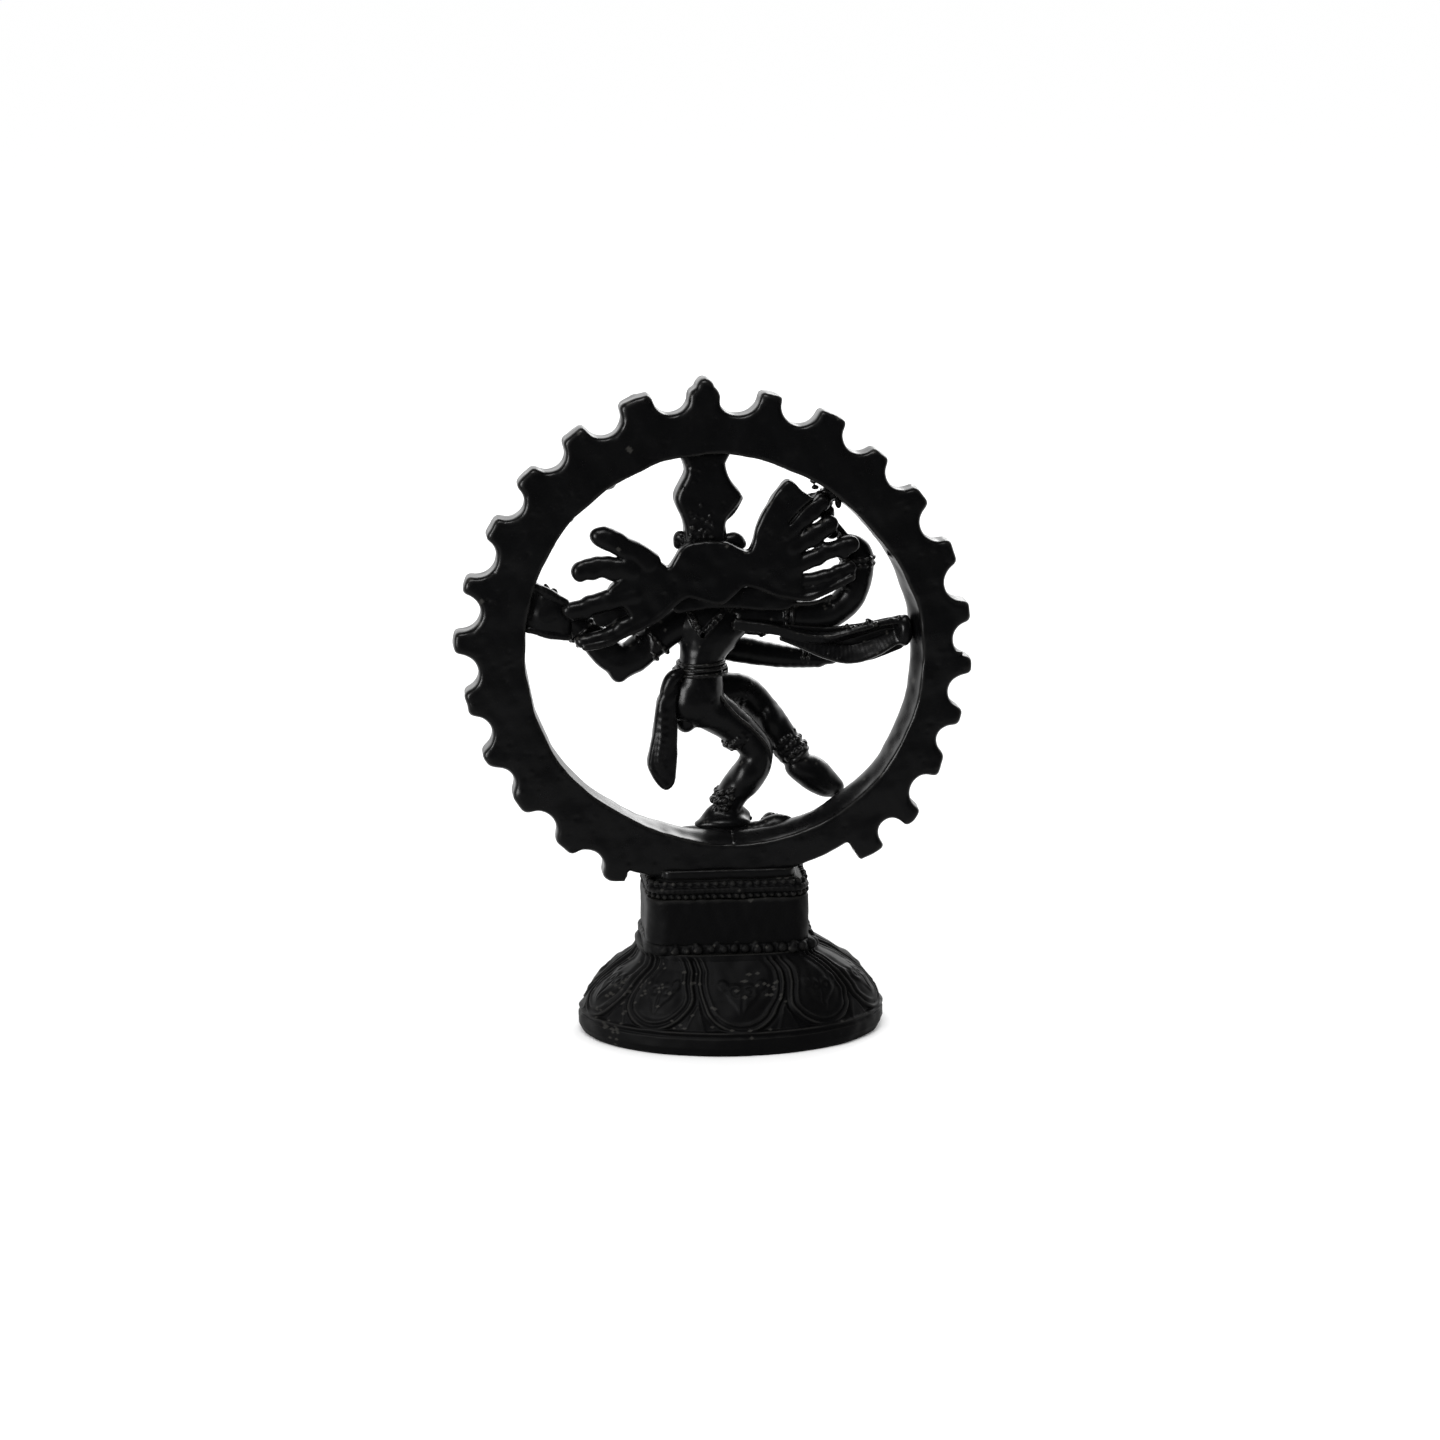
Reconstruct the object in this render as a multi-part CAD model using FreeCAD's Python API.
"""Dancing-figure brass statue, built as castings brazed and bolted together. Millimetres.

+Z is up, the figure faces -Y and its own left is +X. The origin is on the table, under the ring's centre in X
and under the middle of the base in Y. From the table upwards: a hollow lotus base, a hollow plinth closed by a
cap, and on the cap a ring of flame teeth with the figure in it, standing on a lying dwarf. A stud brazed in the
cap runs down through the plinth and is drawn tight by a nut under the lotus base.
"""

import FreeCAD
import Part
import math
import os

V = FreeCAD.Vector
os.makedirs("parts", exist_ok=True)

# ---- driving dimensions -------------------------------------------------------------------------------------
# lotus base: an oval dome on a plain rim
BASE_X = -3.4
BASE_HALF_W = 28.1
BASE_HALF_D = 20.0
RIM_H = 3.6
RIM_ROUND = 1.0
BASE_H = 17.0
LEDGE = 2.2
BASE_WALL = 2.6
BASE_WEB = 3.2

# plinth, its cap and the two rows of beads
PLINTH_X = -2.0
PLINTH_HALF_W = 14.8
PLINTH_HALF_D = 10.4
PLINTH_CORNER = 4.0
PLINTH_TOP = 27.0
PLINTH_WALL = 2.6
CAP_TOP = 30.4
CAP_INSET = 0.7
CAP_SPIGOT_H = 2.4
LOWER_BEAD_R = 1.0
LOWER_BEAD_PITCH = 2.25
UPPER_BEAD_R = 0.65
UPPER_BEAD_PITCH = 1.55
BEAD_STRIP_T = 0.6

# ring of flame teeth
RING_Z = 72.2
RING_INNER_R = 35.3
HOLE_X = -1.1
HOLE_Z = 72.2
RING_ROOT_R = 43.0
RING_TIP_R = 46.6
RING_FRONT_Y = 1.0
RING_BACK_Y = 7.5
TOP_TOOTH_R = 48.4
TOP_TOOTH_TILT = -2.5
TONGUE_TIP_R = 1.8
TONGUE_ROOT_HALF_W = 3.0
# where the hand-cut teeth stand, in degrees from the top towards each of the figure's sides
TEETH_TO_RIGHT = (12.3, 26.8, 40.1, 53.8, 68.4, 82.0, 94.3, 106.7, 118.2, 131.8, 142.9)
TEETH_TO_LEFT = (17.6, 33.0, 47.2, 60.3, 74.3, 87.7, 101.3, 114.7, 127.0, 142.2, 154.9)
HALF_TOOTH = 3.6
GULLET_SHARE_OF_PITCH = 0.3
GULLET_CENTRE_R = 45.95
TANG_X = 7.4
TANG_W = 5.0
TANG_D = 3.6
TANG_DEPTH = 4.2

# figure
SOLE_Z = 37.6
TORSO_BACK_Y = 4.6
SCARF_FRONT_Y = 2.4
HAIR_BACK_Y = 6.8
HAIR_FRONT_Y = 3.5
CROWN_BACK_Y = 4.9
HEAD_CENTRE = V(0.7, -1.9, 86.4)
HEAD_R = 3.7
HEAD_HALF_H = 4.9

# tie stud, washer and nut (M4)
STUD_R = 2.0
STUD_BOTTOM = 9.0
STUD_TOP = 29.0
STUD_CLEARANCE_R = 2.25
WASHER_R = 4.5
WASHER_T = 0.8
NUT_ACROSS_FLATS = 7.0
NUT_H = 3.2
PAST_SURFACE = 1.0
CRUMB_SHARE = 0.02
OVAL_POINTS = 24
BALL_OVER = 1.03


# ---- shape helpers ------------------------------------------------------------------------------------------
def oval(x, y, z, half_w, half_d, power=2.0):
    """A closed smooth wire in a level plane; power 2 is an ellipse and a higher power is boxier."""
    points = []
    for i in range(OVAL_POINTS):
        a = 2 * math.pi * i / OVAL_POINTS
        c, s = math.cos(a), math.sin(a)
        px = half_w * math.copysign(abs(c) ** (2 / power), c)
        py = half_d * math.copysign(abs(s) ** (2 / power), s)
        points.append(V(x + px, y + py, z))
    curve = Part.BSplineCurve()
    curve.interpolate(Points=points, PeriodicFlag=True)
    return Part.Wire(curve.toShape())


def stack(sections, ruled=False):
    """A solid through level ovals, each (x, y, z, half width, half depth) and, if it isn't 2, the power."""
    return Part.makeLoft([oval(*section) for section in sections], True, ruled)


def cone(a, ra, b, rb):
    """A tapered rod from a to b."""
    along = b - a
    if abs(ra - rb) < 1e-6:
        return Part.makeCylinder(ra, along.Length, a, along)
    return Part.makeCone(ra, rb, along.Length, a, along)


def limb(stations):
    """Tapered rods joined by balls, from stations of (x, y, z, radius); each ball's poles lie along its rod."""
    pieces = []
    for (ax, ay, az, ar), (bx, by, bz, br) in zip(stations, stations[1:]):
        start, end = V(ax, ay, az), V(bx, by, bz)
        pieces.append(Part.makeSphere(ar * BALL_OVER, start, end - start))
        pieces.append(cone(start, ar, end, br))
    pieces.append(Part.makeSphere(br * BALL_OVER, end, end - start))
    return pieces[0].multiFuse(pieces[1:]).removeSplitter()


def egg(centre, radius, half_h):
    """A round upright solid whose side view is an ellipse."""
    top, low = centre + V(0, 0, half_h), centre - V(0, 0, half_h)
    if half_h > radius:
        side = Part.Ellipse(top, centre + V(radius, 0, 0), centre)
        arc = Part.ArcOfEllipse(side, 0, math.pi)
    else:
        side = Part.Ellipse(centre + V(radius, 0, 0), top, centre)
        arc = Part.ArcOfEllipse(side, -math.pi / 2, math.pi / 2)
    wire = Part.Wire([arc.toShape(), Part.makeLine(low, top)])
    return Part.Face(wire).revolve(centre, V(0, 0, 1), 360)


def rounded_block(half_w, half_d, corner, low, high, x=PLINTH_X):
    block = Part.makeBox(2 * half_w, 2 * half_d, high - low, V(x - half_w, -half_d, low))
    upright = [e for e in block.Edges if abs(e.Vertexes[0].Z - e.Vertexes[1].Z) > 1e-6]
    return block.makeFillet(corner, upright)


def behind(y):
    """Everything further back than y, for cutting a flat back."""
    return Part.makeBox(200, 100, 300, V(-100, y, -50))


def outline_plate(points, y_front, y_back):
    """A flat plate with a straight-sided outline in X and Z."""
    wire = Part.makePolygon([V(x, y_front, z) for x, z in points + points[:1]])
    return Part.Face(wire).extrude(V(0, y_back - y_front, 0))


def loop_points(half_w, half_d, corner, pitch):
    """Evenly spaced places round a rounded rectangle, near the wanted pitch."""
    flat_w, flat_d = 2 * (half_w - corner), 2 * (half_d - corner)
    arc = math.pi * corner / 2
    runs = [flat_w, arc, flat_d, arc] * 2
    total = sum(runs)
    count = round(total / pitch)
    centres = [(1, 1), (-1, 1), (-1, -1), (1, -1)]
    starts = [(half_w - corner, half_d), (-half_w, half_d - corner)]
    starts += [(-half_w + corner, -half_d), (half_w, -half_d + corner)]
    headings = [(-1, 0), (0, -1), (1, 0), (0, 1)]
    places = []
    for i in range(count):
        left = total * i / count
        run = 0
        while left > runs[run]:
            left -= runs[run]
            run += 1
        side = run // 2
        if run % 2 == 0:
            (sx, sy), (hx, hy) = starts[side], headings[side]
            places.append((sx + hx * left, sy + hy * left))
        else:
            cx, cy = centres[(side + 1) % 4]
            angle = math.pi / 2 * (side + 1) + left / corner
            px = cx * (half_w - corner) + corner * math.cos(angle)
            py = cy * (half_d - corner) + corner * math.sin(angle)
            places.append((px, py))
    return places


parts = {}


def keep(name, shape):
    """Stores a part, cut back from the parts that are already there, so that it meets them face to face."""
    for other in parts.values():
        if shape.BoundBox.intersect(other.BoundBox):
            shape = shape.cut(other)
    solids = sorted(shape.Solids, key=lambda solid: -solid.Volume)
    crumb = CRUMB_SHARE * solids[0].Volume
    parts[name] = Part.makeCompound([solid for solid in solids if solid.Volume > crumb])


# ---- base and plinth ----------------------------------------------------------------------------------------
def lotus_base():
    """A plain rim with a dome on it that draws in to the plinth; hollow from below, with a web for the tie."""
    rim = stack(
        [
            (BASE_X, 0, 0, BASE_HALF_W - RIM_ROUND, BASE_HALF_D - RIM_ROUND),
            (BASE_X, 0, RIM_ROUND, BASE_HALF_W, BASE_HALF_D),
            (BASE_X, 0, RIM_H, BASE_HALF_W, BASE_HALF_D),
        ],
        ruled=True,
    )
    dome = stack(
        [
            (BASE_X, 0, RIM_H, BASE_HALF_W - 0.5, BASE_HALF_D - 0.5),
            (BASE_X, 0, 7.0, BASE_HALF_W - 1.5, BASE_HALF_D - 1.4),
            (BASE_X, 0, 10.5, BASE_HALF_W - 3.9, BASE_HALF_D - 2.9),
            (BASE_X + 0.4, 0, 13.8, BASE_HALF_W - 7.4, BASE_HALF_D - 4.9, 2.3),
            (PLINTH_X, 0, BASE_H, PLINTH_HALF_W + LEDGE, PLINTH_HALF_D + LEDGE, 3.0),
        ]
    )
    web_z = BASE_H - BASE_WEB
    cavity = stack(
        [
            (BASE_X, 0, -PAST_SURFACE, BASE_HALF_W - BASE_WALL, BASE_HALF_D - BASE_WALL),
            (BASE_X, 0, RIM_H, BASE_HALF_W - BASE_WALL, BASE_HALF_D - BASE_WALL),
            (BASE_X, 0, 9.5, BASE_HALF_W - BASE_WALL - 3.2, BASE_HALF_D - BASE_WALL - 2.6),
            (BASE_X, 0, web_z, BASE_HALF_W - BASE_WALL - 9.4, BASE_HALF_D - BASE_WALL - 6.4),
        ],
        ruled=True,
    )
    hole = Part.makeCylinder(STUD_CLEARANCE_R, BASE_H + 2 * PAST_SURFACE, V(PLINTH_X, 0, -PAST_SURFACE))
    keep("lotus_base", rim.fuse(dome).cut(cavity).cut(hole))


def plinth_block():
    outer = rounded_block(PLINTH_HALF_W, PLINTH_HALF_D, PLINTH_CORNER, BASE_H, PLINTH_TOP)
    inner = rounded_block(
        PLINTH_HALF_W - PLINTH_WALL,
        PLINTH_HALF_D - PLINTH_WALL,
        PLINTH_CORNER - PLINTH_WALL,
        BASE_H - PAST_SURFACE,
        PLINTH_TOP + PAST_SURFACE,
    )
    keep("plinth_block", outer.cut(inner))


def plinth_cap():
    plate = rounded_block(
        PLINTH_HALF_W - CAP_INSET, PLINTH_HALF_D - CAP_INSET, PLINTH_CORNER - CAP_INSET, PLINTH_TOP, CAP_TOP
    )
    inside = PLINTH_WALL + 0.1
    spigot = rounded_block(
        PLINTH_HALF_W - inside,
        PLINTH_HALF_D - inside,
        PLINTH_CORNER - PLINTH_WALL,
        PLINTH_TOP - CAP_SPIGOT_H,
        PLINTH_TOP,
    )
    pockets = ring_tangs() + [Part.makeCylinder(STUD_R, STUD_TOP, V(PLINTH_X, 0, 0))]
    keep("plinth_cap", plate.fuse(spigot).cut(pockets))


def ring_tangs():
    """The two lugs under the ring that drop into the cap."""
    middle_y = (RING_FRONT_Y + RING_BACK_Y) / 2
    top = RING_Z - RING_ROOT_R + 3.0
    tangs = []
    for side in (-1, 1):
        corner = V(side * TANG_X - TANG_W / 2, middle_y - TANG_D / 2, CAP_TOP - TANG_DEPTH)
        tangs.append(Part.makeBox(TANG_W, TANG_D, top - corner.z, corner))
    return tangs


def bead_band(name, low, high, inset, wall, rows):
    """A strip round the plinth with rows of beads standing out of it; each row is (height, radius, pitch)."""
    half_w, half_d, corner = PLINTH_HALF_W - inset, PLINTH_HALF_D - inset, PLINTH_CORNER - inset
    band = rounded_block(half_w, half_d, corner, low, high)
    for z, bead_r, pitch in rows:
        places = loop_points(half_w, half_d, corner, pitch)
        band = band.multiFuse([Part.makeSphere(bead_r, V(PLINTH_X + x, y, z)) for x, y in places])
    keep(name, band.cut(wall))


def bead_bands():
    low, high = BASE_H, BASE_H + 2 * LOWER_BEAD_R
    wall = rounded_block(PLINTH_HALF_W, PLINTH_HALF_D, PLINTH_CORNER, low, high)
    rows = [((low + high) / 2, LOWER_BEAD_R, LOWER_BEAD_PITCH)]
    bead_band("lower_bead_band", low, high, -BEAD_STRIP_T, wall, rows)
    cap_half_w, cap_half_d = PLINTH_HALF_W - CAP_INSET, PLINTH_HALF_D - CAP_INSET
    wall = rounded_block(cap_half_w, cap_half_d, PLINTH_CORNER - CAP_INSET, PLINTH_TOP, CAP_TOP)
    rows = [
        (PLINTH_TOP + UPPER_BEAD_R, UPPER_BEAD_R, UPPER_BEAD_PITCH),
        (CAP_TOP - UPPER_BEAD_R, UPPER_BEAD_R, UPPER_BEAD_PITCH),
    ]
    bead_band("upper_bead_band", PLINTH_TOP, CAP_TOP, CAP_INSET - BEAD_STRIP_T, wall, rows)


def tie():
    """The stud with its washer and nut under the lotus base's web."""
    stud = Part.makeCylinder(STUD_R, STUD_TOP - STUD_BOTTOM, V(PLINTH_X, 0, STUD_BOTTOM))
    keep("tie_stud", stud)
    web_z = BASE_H - BASE_WEB
    washer_low = web_z - WASHER_T
    washer = Part.makeCylinder(WASHER_R, WASHER_T, V(PLINTH_X, 0, washer_low))
    washer = washer.cut(Part.makeCylinder(STUD_CLEARANCE_R, BASE_H, V(PLINTH_X, 0, 0)))
    keep("tie_washer", washer)
    corner_r = NUT_ACROSS_FLATS / math.sqrt(3)
    corners = []
    for i in range(7):
        a = math.radians(60 * i)
        corners.append(V(PLINTH_X + corner_r * math.cos(a), corner_r * math.sin(a), washer_low - NUT_H))
    nut = Part.Face(Part.makePolygon(corners)).extrude(V(0, 0, NUT_H))
    keep("tie_nut", nut)


# ---- ring ---------------------------------------------------------------------------------------------------
def ring_place(radius, degrees):
    """A point of the ring's plane; degrees run from the top towards the figure's right."""
    a = math.radians(degrees)
    return -radius * math.sin(a), RING_Z + radius * math.cos(a)


def tooth_angles():
    """The teeth stand closer together towards the foot of the ring."""
    return sorted([-angle for angle in TEETH_TO_LEFT] + [TOP_TOOTH_TILT] + list(TEETH_TO_RIGHT))


def disc(radius, x, z):
    front = RING_FRONT_Y - PAST_SURFACE
    return Part.makeCylinder(radius, RING_BACK_Y - RING_FRONT_Y + 2 * PAST_SURFACE, V(x, front, z), V(0, 1, 0))


def flame_ring():
    deep = RING_BACK_Y - RING_FRONT_Y
    centre = V(0, RING_FRONT_Y, RING_Z)
    ring = Part.makeCylinder(RING_TIP_R, deep, centre, V(0, 1, 0))
    angles = tooth_angles()
    # the toothless stretch over the plinth is turned down to the root radius
    gap = Part.makeCylinder(RING_TIP_R + PAST_SURFACE, deep, centre, V(0, 1, 0))
    gap = gap.cut(Part.makeCylinder(RING_ROOT_R, deep, centre, V(0, 1, 0)))
    ends = [angles[-1] + HALF_TOOTH, 360 + angles[0] - HALF_TOOTH]
    corners = [V(0, RING_FRONT_Y, RING_Z)]
    for i in range(5):
        x, z = ring_place(2 * RING_TIP_R, ends[0] + (ends[1] - ends[0]) * i / 4)
        corners.append(V(x, RING_FRONT_Y, z))
    wedge = Part.Face(Part.makePolygon(corners + corners[:1])).extrude(V(0, deep, 0))
    ring = ring.cut(gap.common(wedge))
    # round gullets between the teeth
    gullets = []
    for a, b in zip(angles, angles[1:]):
        x, z = ring_place(GULLET_CENTRE_R, (a + b) / 2)
        pitch = math.radians(b - a) * RING_TIP_R
        gullets.append(disc(GULLET_SHARE_OF_PITCH * pitch, x, z))
    # the top tooth is a taller tongue
    x, z = ring_place(TOP_TOOTH_R - TONGUE_TIP_R, TOP_TOOTH_TILT)
    root_x, root_z = ring_place(RING_ROOT_R, TOP_TOOTH_TILT)
    tongue = outline_plate(
        [
            (root_x - TONGUE_ROOT_HALF_W, root_z),
            (x - TONGUE_TIP_R, z),
            (x + TONGUE_TIP_R, z),
            (root_x + TONGUE_ROOT_HALF_W, root_z),
        ],
        RING_FRONT_Y,
        RING_BACK_Y,
    )
    tip = Part.makeCylinder(TONGUE_TIP_R, deep, V(x, RING_FRONT_Y, z), V(0, 1, 0))
    ring = ring.cut(gullets[0].multiFuse(gullets[1:])).fuse(tongue).fuse(tip)
    ring = ring.cut(disc(RING_INNER_R, HOLE_X, HOLE_Z))
    ring = ring.fuse(ring_tangs()[0]).fuse(ring_tangs()[1])
    keep("flame_ring", ring.removeSplitter())


# ---- figure -------------------------------------------------------------------------------------------------
def torso():
    body = stack(
        [
            (3.2, 0.2, 59.2, 4.6, 3.9),
            (3.1, 0.2, 62.0, 5.2, 4.4),
            (2.5, 0.1, 65.0, 4.7, 3.9),
            (2.3, 0.0, 67.4, 4.0, 3.3),
            (1.1, -0.2, 71.5, 4.7, 3.7),
            (-0.1, -0.3, 75.4, 5.7, 4.0),
            (0.2, 0.0, 78.0, 4.6, 3.2),
            (0.5, -0.3, 79.2, 2.9, 2.6),
        ]
    )
    keep("torso", body.cut(behind(TORSO_BACK_Y)))


def head():
    skull = egg(HEAD_CENTRE, HEAD_R, HEAD_HALF_H)
    neck = cone(V(0.4, -0.4, 78.0), 2.5, V(0.7, -1.0, 83.5), 2.1)
    keep("head", skull.fuse(neck))


def crown():
    body = stack(
        [
            (1.3, 0.9, 89.0, 4.3, 4.1),
            (1.8, 0.9, 91.6, 3.6, 3.5),
            (1.8, 0.9, 93.6, 3.5, 3.1),
            (1.7, 0.9, 96.4, 4.4, 3.1),
            (1.4, 0.9, 99.4, 5.9, 3.1),
            (1.7, 1.0, 101.5, 4.7, 2.9),
            (1.6, 1.7, 103.8, 3.3, 2.6),
            (2.0, 2.7, 105.8, 3.7, 2.4),
            (2.3, 3.1, 107.8, 4.1, 2.4),
        ]
    )
    keep("crown", body.cut(behind(CROWN_BACK_Y)))


def hair_fan():
    """A flat-backed plate of hair behind the head, with four locks on one side and six on the other."""
    y = (HAIR_FRONT_Y + HAIR_BACK_Y) / 2
    plate = outline_plate(
        [
            (9.4, 87.6), (8.7, 86.5), (6.9, 87.8), (5.0, 90.0), (3.0, 91.6), (0.6, 91.9), (-1.9, 91.5),
            (-5.8, 89.9), (-7.0, 94.0), (-9.4, 98.4), (-12.7, 102.6), (-14.4, 101.8), (-16.4, 99.6),
            (-18.4, 98.8), (-13.6, 94.4), (-15.4, 91.0), (-15.6, 84.0), (-15.9, 80.4),
            (-13.2, 80.2), (-9.5, 81.2), (-5.4, 82.9), (-3.4, 82.2), (0.4, 80.6), (5.0, 81.9), (9.6, 78.4),
            (15.6, 75.6), (16.4, 81.0), (16.6, 88.0), (16.2, 90.2), (12.6, 89.9),
        ],
        HAIR_FRONT_Y,
        HAIR_BACK_Y,
    )
    locks = [
        [(12.0, 87.9, 1.9), (16.4, 90.6, 1.6), (21.0, 92.4, 1.6)],
        [(14.0, 86.4, 1.8), (19.0, 87.0, 1.6), (24.0, 86.6, 1.5)],
        [(13.8, 82.2, 1.7), (19.6, 80.7, 1.5), (25.4, 79.0, 1.4)],
        [(12.6, 78.6, 1.7), (18.4, 75.6, 1.4), (24.0, 74.1, 1.2)],
        [(-12.4, 92.8, 1.8), (-15.6, 95.6, 1.6), (-19.2, 98.2, 1.5)],
        [(-13.8, 90.8, 1.9), (-17.4, 92.7, 1.8), (-20.4, 94.6, 1.6)],
        [(-14.0, 88.2, 1.5), (-19.0, 89.6, 1.3), (-24.2, 90.6, 1.3)],
        [(-14.2, 84.2, 1.3), (-19.0, 84.8, 1.0), (-24.0, 87.2, 1.0)],
        [(-13.2, 81.8, 1.3), (-18.0, 82.2, 1.2), (-24.0, 85.2, 1.1)],
    ]
    pieces = [limb([(x, y, z, r) for x, z, r in lock]) for lock in locks]
    fan = plate.multiFuse(pieces)
    keep("hair_fan", fan.cut(behind(HAIR_BACK_Y)))


def standing_leg():
    leg = limb(
        [
            (3.4, -0.2, 61.6, 4.2),
            (-0.9, -0.9, 58.6, 3.8),
            (-7.6, -2.4, 52.8, 2.8),
            (-6.8, -2.6, 47.4, 2.8),
            (-3.4, -3.0, 42.4, 2.2),
            (-2.4, -3.3, 39.9, 2.2),
        ]
    )
    foot = limb([(0.2, -3.3, 39.2, 1.8), (-4.0, -3.8, 39.2, 1.9), (-7.0, -4.3, 38.9, 1.5)])
    leg = leg.fuse(foot).cut(Part.makeBox(60, 60, 10, V(-30, -30, SOLE_Z - 10)))
    keep("standing_leg", leg)


def raised_leg():
    leg = limb(
        [
            (5.4, -1.2, 62.2, 3.6),
            (-0.4, -6.2, 62.4, 3.4),
            (-7.4, -8.6, 61.0, 3.0),
            (-11.2, -8.0, 56.2, 2.7),
            (-15.4, -7.2, 50.8, 2.6),
            (-17.2, -7.0, 48.4, 2.6),
            (-20.6, -7.2, 45.4, 2.4),
            (-23.4, -7.6, 43.0, 1.7),
        ]
    )
    keep("raised_leg", leg)


def arms():
    drum_arm = limb(
        [
            (-5.4, -0.2, 76.3, 2.9), (-14.0, 0.4, 76.3, 2.5), (-22.6, 1.0, 77.4, 2.4), (-26.6, 1.0, 82.2, 2.3),
            (-26.9, 0.8, 88.2, 2.0), (-24.8, 0.7, 90.2, 2.0),
        ]
    )
    keep("rear_right_arm", drum_arm)
    flame_arm = limb(
        [
            (5.6, -0.2, 76.2, 2.9), (11.0, 0.2, 72.8, 3.0), (16.2, 0.6, 69.3, 2.9), (20.6, 1.2, 72.4, 2.7),
            (24.6, 1.8, 76.0, 2.5), (27.6, 2.4, 78.0, 2.5),
        ]
    )
    keep("rear_left_arm", flame_arm)
    blessing_arm = limb(
        [
            (-5.0, -2.4, 75.8, 2.3), (-10.0, -4.4, 75.0, 2.0), (-14.4, -5.6, 75.6, 1.9),
            (-15.0, -7.4, 79.4, 1.6), (-15.0, -8.2, 82.6, 1.4),
        ]
    )
    palm = egg(V(-15.0, -8.4, 84.6), 1.7, 2.4)
    fingers = egg(V(-15.0, -8.5, 87.0), 1.3, 2.3)
    keep("front_right_arm", blessing_arm.fuse(palm).fuse(fingers))
    crossing_arm = limb(
        [
            (5.2, -2.4, 75.8, 2.3), (3.4, -6.0, 72.0, 2.1), (-2.0, -7.4, 70.0, 2.0), (-10.0, -7.2, 69.0, 2.0),
            (-18.0, -7.0, 68.0, 1.6), (-22.0, -7.0, 67.4, 1.5), (-29.0, -6.6, 66.2, 0.9),
        ]
    )
    keep("front_left_arm", crossing_arm)


def belt_and_cloth():
    belt = stack([(2.5, 0.05, 65.6, 5.2, 4.4), (2.4, 0.0, 66.6, 5.2, 4.4), (2.35, 0.0, 67.6, 4.9, 4.1)])
    keep("waist_belt", belt)
    tail = limb(
        [
            (8.4, 2.4, 64.4, 1.9), (9.0, 2.6, 61.4, 1.9), (9.4, 2.8, 56.0, 1.9), (9.2, 3.0, 50.0, 2.2),
            (8.8, 3.0, 47.2, 1.4),
        ]
    )
    keep("waist_sash", tail.cut(behind(TORSO_BACK_Y)))
    scarf = outline_plate(
        [
            (-3.6, 76.4), (-12.0, 75.0), (-20.0, 74.0), (-24.4, 75.0), (-30.0, 76.6), (-36.4, 76.9),
            (-36.4, 71.4), (-31.6, 69.6), (-27.6, 68.6), (-24.0, 68.8), (-16.0, 72.0), (-3.6, 75.0),
        ],
        SCARF_FRONT_Y,
        TORSO_BACK_Y,
    )
    keep("flying_scarf", scarf)


def attributes():
    """What the rear hands hold: a waisted hand drum and a flame, each brazed to the ring."""
    axis_y = 1.8
    waist_r, head_r, half_long = 1.5, 2.6, 3.4
    middle = V(-20.6, axis_y, 98.6)
    lean = V(-0.8, 0, 0.6).normalize()
    low_end = middle - lean * half_long
    high_end = middle + lean * half_long
    drum = cone(low_end, head_r, middle, waist_r).fuse(cone(middle, waist_r, high_end, head_r))
    thumb = limb([(-23.4, 0.9, 91.6, 1.5), (-21.4, 1.2, 94.0, 1.4), (-20.8, 1.5, 96.4, 1.3)])
    keep("hand_drum", drum.fuse(thumb))
    flame = limb([(29.4, 3.0, 77.2, 2.8), (31.4, 3.2, 79.2, 3.2), (31.6, 3.4, 82.0, 2.4)])
    keep("hand_flame", flame.cut(behind(HAIR_BACK_Y)))


def dwarf():
    """Lies across the cap in front of the ring, head towards the figure's right."""
    low = CAP_TOP
    body = limb(
        [
            (8.2, -3.8, 34.0, 3.0), (2.8, -3.8, 34.6, 3.4), (-3.0, -3.9, 34.6, 3.6), (-8.0, -4.0, 34.4, 3.2),
            (-10.8, -4.0, 36.2, 2.8),
        ]
    )
    floor = Part.makeBox(60, 60, 20, V(-30, -30, low - 20))
    seat = rounded_block(PLINTH_HALF_W - 2.4, PLINTH_HALF_D - 1.8, PLINTH_CORNER - 1.8, low, low + 1.6)
    body = body.fuse(seat).cut(floor)
    keep("dwarf", body)


lotus_base()
plinth_block()
plinth_cap()
bead_bands()
tie()
flame_ring()
torso()
head()
hair_fan()
crown()
standing_leg()
raised_leg()
arms()
belt_and_cloth()
attributes()
dwarf()

for name, shape in parts.items():
    shape.exportStep(f"parts/{name}.step")
    box = shape.optimalBoundingBox(False, False)
    print(
        f"{name:18s} solids {len(shape.Solids)} valid {shape.isValid()} volume {shape.Volume:9.1f}"
        f"  x {box.XMin:6.1f}..{box.XMax:6.1f}  y {box.YMin:6.1f}..{box.YMax:6.1f}"
        f"  z {box.ZMin:6.1f}..{box.ZMax:6.1f}"
    )
